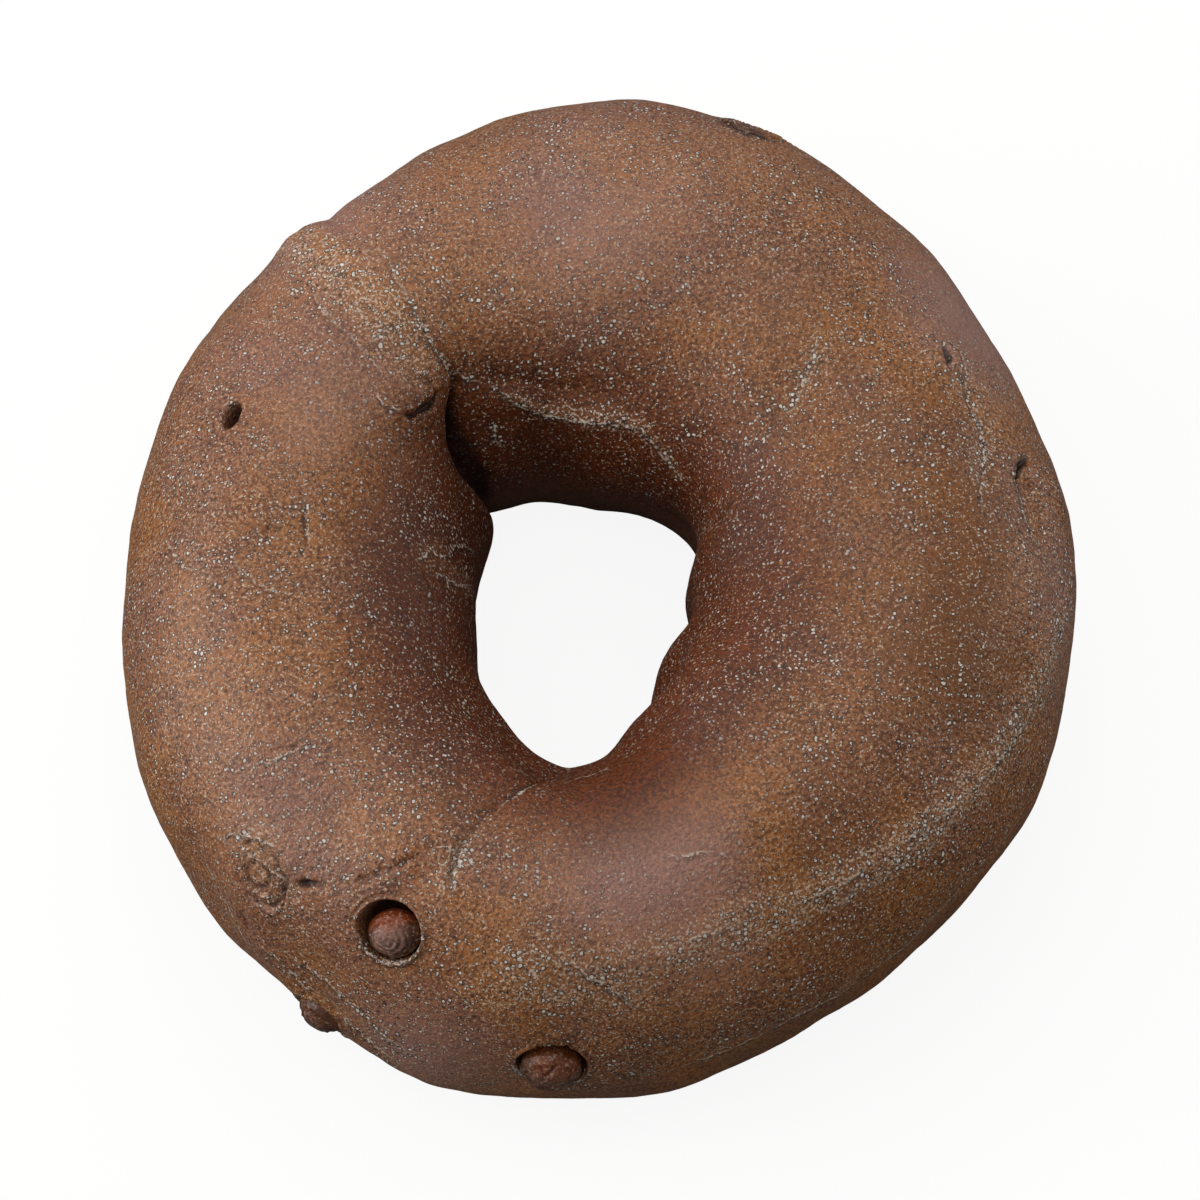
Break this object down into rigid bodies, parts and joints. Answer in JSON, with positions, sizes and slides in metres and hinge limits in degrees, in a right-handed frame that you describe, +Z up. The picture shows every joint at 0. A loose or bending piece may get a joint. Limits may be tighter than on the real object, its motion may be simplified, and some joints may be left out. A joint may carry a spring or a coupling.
{
  "type": "chocolate bagel",
  "caption": "Whole round chocolate bagel with an oval hole, a pinched seam across the ring and chocolate chips showing in its matt brown crust.",
  "frame": {"origin": "on the surface the bagel lies on, under the middle of its overall box", "axes": "+Z up through the hole; +Y to the back of the ring along its longer side; +X to the right; the pinched seam lies at the back left"},
  "size_m": [0.1047, 0.1173, 0.0383],
  "materials": {
    "crust": "boiled and baked cocoa dough: a dull satin brown skin with fine pale blisters",
    "chocolate": "dark baked chocolate with a soft sheen"
  },
  "bodies": {
    "root": {"dough": "crust", "chip_front": "chocolate", "chip_near_edge": "chocolate", "chip_left_edge": "chocolate", "chip_back": "chocolate"}
  },
  "joints": []
}
